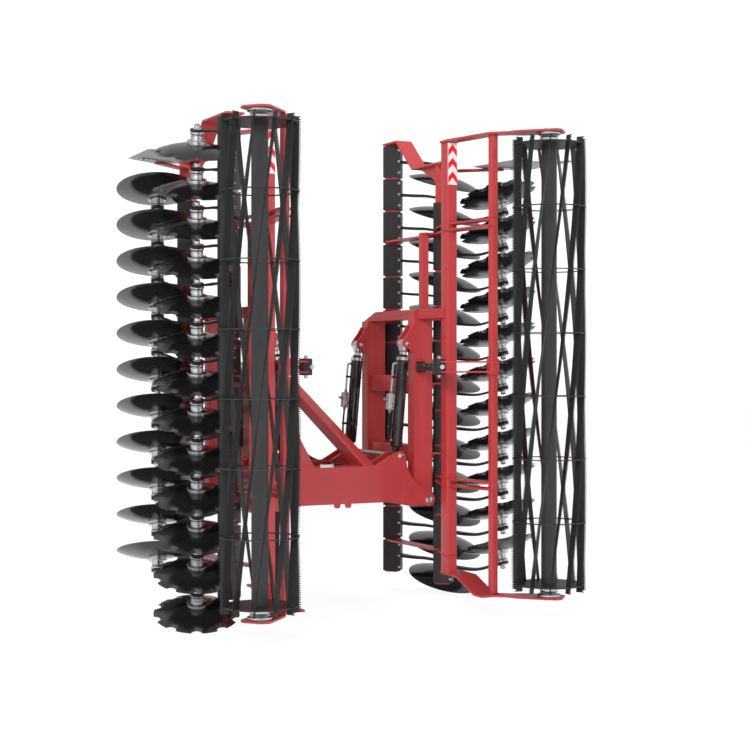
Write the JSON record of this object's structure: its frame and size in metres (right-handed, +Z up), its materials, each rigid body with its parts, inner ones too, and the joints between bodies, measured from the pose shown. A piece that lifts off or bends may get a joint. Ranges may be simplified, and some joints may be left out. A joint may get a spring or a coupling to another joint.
{
  "type": "folding disc harrow",
  "caption": "Rear-mounted compact disc harrow with two rows of discs on each folding wing, cage rollers, a headstock and a parking stand, wings folded up for transport.",
  "frame": {"origin": "floor level, at the middle of the parked machine's box", "axes": "+Z up, +Y forward to the tractor, +X to the machine's right"},
  "size_m": [2.8534, 2.618, 3.3999],
  "materials": {
    "red_paint": "gloss",
    "black_paint": "satin",
    "disc_steel": "polished",
    "bright_steel": "polished"
  },
  "bodies": {
    "frame": {"centre_frame": "red_paint"},
    "right_wing": {"right_wing_frame": "red_paint"},
    "left_wing": {"left_wing_frame": "red_paint"},
    "right_roller": {"right_roller": "black_paint"},
    "left_roller": {"left_roller": "black_paint"},
    "parking_stand": {"parking_stand": "black_paint"},
    "right_cylinders": {"right_fold_cylinders": "black_paint"},
    "right_rods": {"right_rear_cylinder_rod": "bright_steel", "right_front_cylinder_rod": "bright_steel"},
    "left_cylinders": {"left_fold_cylinders": "black_paint"},
    "left_rods": {"left_rear_cylinder_rod": "bright_steel", "left_front_cylinder_rod": "bright_steel"},
    "right_front_disc_01": {"right_front_disc_01": "disc_steel"},
    "right_front_disc_02": {"right_front_disc_02": "disc_steel"},
    "right_front_disc_03": {"right_front_disc_03": "disc_steel"},
    "right_front_disc_04": {"right_front_disc_04": "disc_steel"},
    "right_front_disc_05": {"right_front_disc_05": "disc_steel"},
    "right_front_disc_06": {"right_front_disc_06": "disc_steel"},
    "right_front_disc_07": {"right_front_disc_07": "disc_steel"},
    "right_front_disc_08": {"right_front_disc_08": "disc_steel"},
    "right_front_disc_09": {"right_front_disc_09": "disc_steel"},
    "right_front_disc_10": {"right_front_disc_10": "disc_steel"},
    "right_front_disc_11": {"right_front_disc_11": "disc_steel"},
    "right_front_disc_12": {"right_front_disc_12": "disc_steel"},
    "right_front_disc_13": {"right_front_disc_13": "disc_steel"},
    "right_rear_disc_01": {"right_rear_disc_01": "disc_steel"},
    "right_rear_disc_02": {"right_rear_disc_02": "disc_steel"},
    "right_rear_disc_03": {"right_rear_disc_03": "disc_steel"},
    "right_rear_disc_04": {"right_rear_disc_04": "disc_steel"},
    "right_rear_disc_05": {"right_rear_disc_05": "disc_steel"},
    "right_rear_disc_06": {"right_rear_disc_06": "disc_steel"},
    "right_rear_disc_07": {"right_rear_disc_07": "disc_steel"},
    "right_rear_disc_08": {"right_rear_disc_08": "disc_steel"},
    "right_rear_disc_09": {"right_rear_disc_09": "disc_steel"},
    "right_rear_disc_10": {"right_rear_disc_10": "disc_steel"},
    "right_rear_disc_11": {"right_rear_disc_11": "disc_steel"},
    "left_front_disc_01": {"left_front_disc_01": "disc_steel"},
    "left_front_disc_02": {"left_front_disc_02": "disc_steel"},
    "left_front_disc_03": {"left_front_disc_03": "disc_steel"},
    "left_front_disc_04": {"left_front_disc_04": "disc_steel"},
    "left_front_disc_05": {"left_front_disc_05": "disc_steel"},
    "left_front_disc_06": {"left_front_disc_06": "disc_steel"},
    "left_front_disc_07": {"left_front_disc_07": "disc_steel"},
    "left_front_disc_08": {"left_front_disc_08": "disc_steel"},
    "left_front_disc_09": {"left_front_disc_09": "disc_steel"},
    "left_front_disc_10": {"left_front_disc_10": "disc_steel"},
    "left_front_disc_11": {"left_front_disc_11": "disc_steel"},
    "left_rear_disc_01": {"left_rear_disc_01": "disc_steel"},
    "left_rear_disc_02": {"left_rear_disc_02": "disc_steel"},
    "left_rear_disc_03": {"left_rear_disc_03": "disc_steel"},
    "left_rear_disc_04": {"left_rear_disc_04": "disc_steel"},
    "left_rear_disc_05": {"left_rear_disc_05": "disc_steel"},
    "left_rear_disc_06": {"left_rear_disc_06": "disc_steel"},
    "left_rear_disc_07": {"left_rear_disc_07": "disc_steel"},
    "left_rear_disc_08": {"left_rear_disc_08": "disc_steel"},
    "left_rear_disc_09": {"left_rear_disc_09": "disc_steel"},
    "left_rear_disc_10": {"left_rear_disc_10": "disc_steel"},
    "left_rear_disc_11": {"left_rear_disc_11": "disc_steel"},
    "left_rear_disc_12": {"left_rear_disc_12": "disc_steel"},
    "left_rear_disc_13": {"left_rear_disc_13": "disc_steel"}
  },
  "joints": [
    {"name": "right_fold", "type": "hinge", "parent": "frame", "child": "right_wing", "pos_m": [0.66, -0.02099, 0.748], "axis": [0, 1, 0], "range_deg": [0, 90]},
    {"name": "left_fold", "type": "hinge", "parent": "frame", "child": "left_wing", "pos_m": [-0.66, -0.02099, 0.748], "axis": [0, -1, 0], "range_deg": [0, 90]},
    {"name": "stand_swing", "type": "hinge", "parent": "frame", "child": "parking_stand", "pos_m": [0, 1.09101, 0.712], "axis": [-1, 0, 0], "range_deg": [0, 90]},
    {"name": "right_roller_spin", "type": "hinge", "parent": "right_wing", "child": "right_roller", "pos_m": [1.048, -1.05799, 1.7], "axis": [0, 0, 1], "continuous": true},
    {"name": "left_roller_spin", "type": "hinge", "parent": "left_wing", "child": "left_roller", "pos_m": [-1.048, -1.05799, 1.7], "axis": [0, 0, 1], "continuous": true},
    {"name": "right_cylinder_tilt", "type": "hinge", "parent": "frame", "child": "right_cylinders", "pos_m": [0.433, -0.02099, 1.069], "axis": [0, 1, 0], "range_deg": [0, 92.9]},
    {"name": "right_rod_slide", "type": "slide", "parent": "right_cylinders", "child": "right_rods", "axis": [0.0892, 0, 0.996], "range_m": [0, 0.5569]},
    {"name": "left_cylinder_tilt", "type": "hinge", "parent": "frame", "child": "left_cylinders", "pos_m": [-0.433, -0.02099, 1.069], "axis": [0, -1, 0], "range_deg": [0, 92.9]},
    {"name": "left_rod_slide", "type": "slide", "parent": "left_cylinders", "child": "left_rods", "axis": [-0.0892, 0, 0.996], "range_m": [0, 0.5569]},
    {"name": "right_front_disc_01_spin", "type": "hinge", "parent": "right_wing", "child": "right_front_disc_01", "pos_m": [1.164, 0.47101, 0.25837], "axis": [-0.0872, 0.2996, -0.9501], "continuous": true},
    {"name": "right_front_disc_02_spin", "type": "hinge", "parent": "right_wing", "child": "right_front_disc_02", "pos_m": [1.164, 0.47101, 0.50837], "axis": [-0.0872, 0.2996, -0.9501], "continuous": true},
    {"name": "right_front_disc_03_spin", "type": "hinge", "parent": "right_wing", "child": "right_front_disc_03", "pos_m": [1.164, 0.47101, 0.75837], "axis": [-0.0872, 0.2996, -0.9501], "continuous": true},
    {"name": "right_front_disc_04_spin", "type": "hinge", "parent": "right_wing", "child": "right_front_disc_04", "pos_m": [1.164, 0.47101, 1.00837], "axis": [-0.0872, 0.2996, -0.9501], "continuous": true},
    {"name": "right_front_disc_05_spin", "type": "hinge", "parent": "right_wing", "child": "right_front_disc_05", "pos_m": [1.164, 0.47101, 1.25837], "axis": [-0.0872, 0.2996, -0.9501], "continuous": true},
    {"name": "right_front_disc_06_spin", "type": "hinge", "parent": "right_wing", "child": "right_front_disc_06", "pos_m": [1.164, 0.47101, 1.50837], "axis": [-0.0872, 0.2996, -0.9501], "continuous": true},
    {"name": "right_front_disc_07_spin", "type": "hinge", "parent": "right_wing", "child": "right_front_disc_07", "pos_m": [1.164, 0.47101, 1.75837], "axis": [-0.0872, 0.2996, -0.9501], "continuous": true},
    {"name": "right_front_disc_08_spin", "type": "hinge", "parent": "right_wing", "child": "right_front_disc_08", "pos_m": [1.164, 0.47101, 2.00837], "axis": [-0.0872, 0.2996, -0.9501], "continuous": true},
    {"name": "right_front_disc_09_spin", "type": "hinge", "parent": "right_wing", "child": "right_front_disc_09", "pos_m": [1.164, 0.47101, 2.25837], "axis": [-0.0872, 0.2996, -0.9501], "continuous": true},
    {"name": "right_front_disc_10_spin", "type": "hinge", "parent": "right_wing", "child": "right_front_disc_10", "pos_m": [1.164, 0.47101, 2.50837], "axis": [-0.0872, 0.2996, -0.9501], "continuous": true},
    {"name": "right_front_disc_11_spin", "type": "hinge", "parent": "right_wing", "child": "right_front_disc_11", "pos_m": [1.164, 0.47101, 2.75837], "axis": [-0.0872, 0.2996, -0.9501], "continuous": true},
    {"name": "right_front_disc_12_spin", "type": "hinge", "parent": "right_wing", "child": "right_front_disc_12", "pos_m": [1.164, 0.47101, 3.00837], "axis": [-0.0872, 0.2996, -0.9501], "continuous": true},
    {"name": "right_front_disc_13_spin", "type": "hinge", "parent": "right_wing", "child": "right_front_disc_13", "pos_m": [1.164, 0.47101, 3.25837], "axis": [-0.0872, 0.2996, -0.9501], "continuous": true},
    {"name": "right_rear_disc_01_spin", "type": "hinge", "parent": "right_wing", "child": "right_rear_disc_01", "pos_m": [1.164, -0.29699, 0.25837], "axis": [-0.0872, 0.2996, 0.9501], "continuous": true},
    {"name": "right_rear_disc_02_spin", "type": "hinge", "parent": "right_wing", "child": "right_rear_disc_02", "pos_m": [1.164, -0.29699, 0.50837], "axis": [-0.0872, 0.2996, 0.9501], "continuous": true},
    {"name": "right_rear_disc_03_spin", "type": "hinge", "parent": "right_wing", "child": "right_rear_disc_03", "pos_m": [1.164, -0.29699, 0.75837], "axis": [-0.0872, 0.2996, 0.9501], "continuous": true},
    {"name": "right_rear_disc_04_spin", "type": "hinge", "parent": "right_wing", "child": "right_rear_disc_04", "pos_m": [1.164, -0.29699, 1.00837], "axis": [-0.0872, 0.2996, 0.9501], "continuous": true},
    {"name": "right_rear_disc_05_spin", "type": "hinge", "parent": "right_wing", "child": "right_rear_disc_05", "pos_m": [1.164, -0.29699, 1.25837], "axis": [-0.0872, 0.2996, 0.9501], "continuous": true},
    {"name": "right_rear_disc_06_spin", "type": "hinge", "parent": "right_wing", "child": "right_rear_disc_06", "pos_m": [1.164, -0.29699, 1.50837], "axis": [-0.0872, 0.2996, 0.9501], "continuous": true},
    {"name": "right_rear_disc_07_spin", "type": "hinge", "parent": "right_wing", "child": "right_rear_disc_07", "pos_m": [1.164, -0.29699, 1.75837], "axis": [-0.0872, 0.2996, 0.9501], "continuous": true},
    {"name": "right_rear_disc_08_spin", "type": "hinge", "parent": "right_wing", "child": "right_rear_disc_08", "pos_m": [1.164, -0.29699, 2.00837], "axis": [-0.0872, 0.2996, 0.9501], "continuous": true},
    {"name": "right_rear_disc_09_spin", "type": "hinge", "parent": "right_wing", "child": "right_rear_disc_09", "pos_m": [1.164, -0.29699, 2.25837], "axis": [-0.0872, 0.2996, 0.9501], "continuous": true},
    {"name": "right_rear_disc_10_spin", "type": "hinge", "parent": "right_wing", "child": "right_rear_disc_10", "pos_m": [1.164, -0.29699, 2.50837], "axis": [-0.0872, 0.2996, 0.9501], "continuous": true},
    {"name": "right_rear_disc_11_spin", "type": "hinge", "parent": "right_wing", "child": "right_rear_disc_11", "pos_m": [1.164, -0.29699, 2.75837], "axis": [-0.0872, 0.2996, 0.9501], "continuous": true},
    {"name": "left_front_disc_01_spin", "type": "hinge", "parent": "left_wing", "child": "left_front_disc_01", "pos_m": [-1.164, 0.47101, 0.25837], "axis": [0.0872, 0.2996, 0.9501], "continuous": true},
    {"name": "left_front_disc_02_spin", "type": "hinge", "parent": "left_wing", "child": "left_front_disc_02", "pos_m": [-1.164, 0.47101, 0.50837], "axis": [0.0872, 0.2996, 0.9501], "continuous": true},
    {"name": "left_front_disc_03_spin", "type": "hinge", "parent": "left_wing", "child": "left_front_disc_03", "pos_m": [-1.164, 0.47101, 0.75837], "axis": [0.0872, 0.2996, 0.9501], "continuous": true},
    {"name": "left_front_disc_04_spin", "type": "hinge", "parent": "left_wing", "child": "left_front_disc_04", "pos_m": [-1.164, 0.47101, 1.00837], "axis": [0.0872, 0.2996, 0.9501], "continuous": true},
    {"name": "left_front_disc_05_spin", "type": "hinge", "parent": "left_wing", "child": "left_front_disc_05", "pos_m": [-1.164, 0.47101, 1.25837], "axis": [0.0872, 0.2996, 0.9501], "continuous": true},
    {"name": "left_front_disc_06_spin", "type": "hinge", "parent": "left_wing", "child": "left_front_disc_06", "pos_m": [-1.164, 0.47101, 1.50837], "axis": [0.0872, 0.2996, 0.9501], "continuous": true},
    {"name": "left_front_disc_07_spin", "type": "hinge", "parent": "left_wing", "child": "left_front_disc_07", "pos_m": [-1.164, 0.47101, 1.75837], "axis": [0.0872, 0.2996, 0.9501], "continuous": true},
    {"name": "left_front_disc_08_spin", "type": "hinge", "parent": "left_wing", "child": "left_front_disc_08", "pos_m": [-1.164, 0.47101, 2.00837], "axis": [0.0872, 0.2996, 0.9501], "continuous": true},
    {"name": "left_front_disc_09_spin", "type": "hinge", "parent": "left_wing", "child": "left_front_disc_09", "pos_m": [-1.164, 0.47101, 2.25837], "axis": [0.0872, 0.2996, 0.9501], "continuous": true},
    {"name": "left_front_disc_10_spin", "type": "hinge", "parent": "left_wing", "child": "left_front_disc_10", "pos_m": [-1.164, 0.47101, 2.50837], "axis": [0.0872, 0.2996, 0.9501], "continuous": true},
    {"name": "left_front_disc_11_spin", "type": "hinge", "parent": "left_wing", "child": "left_front_disc_11", "pos_m": [-1.164, 0.47101, 2.75837], "axis": [0.0872, 0.2996, 0.9501], "continuous": true},
    {"name": "left_rear_disc_01_spin", "type": "hinge", "parent": "left_wing", "child": "left_rear_disc_01", "pos_m": [-1.164, -0.29699, 0.25837], "axis": [0.0872, 0.2996, -0.9501], "continuous": true},
    {"name": "left_rear_disc_02_spin", "type": "hinge", "parent": "left_wing", "child": "left_rear_disc_02", "pos_m": [-1.164, -0.29699, 0.50837], "axis": [0.0872, 0.2996, -0.9501], "continuous": true},
    {"name": "left_rear_disc_03_spin", "type": "hinge", "parent": "left_wing", "child": "left_rear_disc_03", "pos_m": [-1.164, -0.29699, 0.75837], "axis": [0.0872, 0.2996, -0.9501], "continuous": true},
    {"name": "left_rear_disc_04_spin", "type": "hinge", "parent": "left_wing", "child": "left_rear_disc_04", "pos_m": [-1.164, -0.29699, 1.00837], "axis": [0.0872, 0.2996, -0.9501], "continuous": true},
    {"name": "left_rear_disc_05_spin", "type": "hinge", "parent": "left_wing", "child": "left_rear_disc_05", "pos_m": [-1.164, -0.29699, 1.25837], "axis": [0.0872, 0.2996, -0.9501], "continuous": true},
    {"name": "left_rear_disc_06_spin", "type": "hinge", "parent": "left_wing", "child": "left_rear_disc_06", "pos_m": [-1.164, -0.29699, 1.50837], "axis": [0.0872, 0.2996, -0.9501], "continuous": true},
    {"name": "left_rear_disc_07_spin", "type": "hinge", "parent": "left_wing", "child": "left_rear_disc_07", "pos_m": [-1.164, -0.29699, 1.75837], "axis": [0.0872, 0.2996, -0.9501], "continuous": true},
    {"name": "left_rear_disc_08_spin", "type": "hinge", "parent": "left_wing", "child": "left_rear_disc_08", "pos_m": [-1.164, -0.29699, 2.00837], "axis": [0.0872, 0.2996, -0.9501], "continuous": true},
    {"name": "left_rear_disc_09_spin", "type": "hinge", "parent": "left_wing", "child": "left_rear_disc_09", "pos_m": [-1.164, -0.29699, 2.25837], "axis": [0.0872, 0.2996, -0.9501], "continuous": true},
    {"name": "left_rear_disc_10_spin", "type": "hinge", "parent": "left_wing", "child": "left_rear_disc_10", "pos_m": [-1.164, -0.29699, 2.50837], "axis": [0.0872, 0.2996, -0.9501], "continuous": true},
    {"name": "left_rear_disc_11_spin", "type": "hinge", "parent": "left_wing", "child": "left_rear_disc_11", "pos_m": [-1.164, -0.29699, 2.75837], "axis": [0.0872, 0.2996, -0.9501], "continuous": true},
    {"name": "left_rear_disc_12_spin", "type": "hinge", "parent": "left_wing", "child": "left_rear_disc_12", "pos_m": [-1.164, -0.29699, 3.00837], "axis": [0.0872, 0.2996, -0.9501], "continuous": true},
    {"name": "left_rear_disc_13_spin", "type": "hinge", "parent": "left_wing", "child": "left_rear_disc_13", "pos_m": [-1.164, -0.29699, 3.25837], "axis": [0.0872, 0.2996, -0.9501], "continuous": true}
  ],
  "couplings": [
    {"joint": "right_cylinder_tilt", "follows": "right_fold", "ratio": 1.0211},
    {"joint": "right_rod_slide", "follows": "right_fold", "m_per_rad": 0.35329},
    {"joint": "left_cylinder_tilt", "follows": "left_fold", "ratio": 1.0211},
    {"joint": "left_rod_slide", "follows": "left_fold", "m_per_rad": 0.35329}
  ]
}
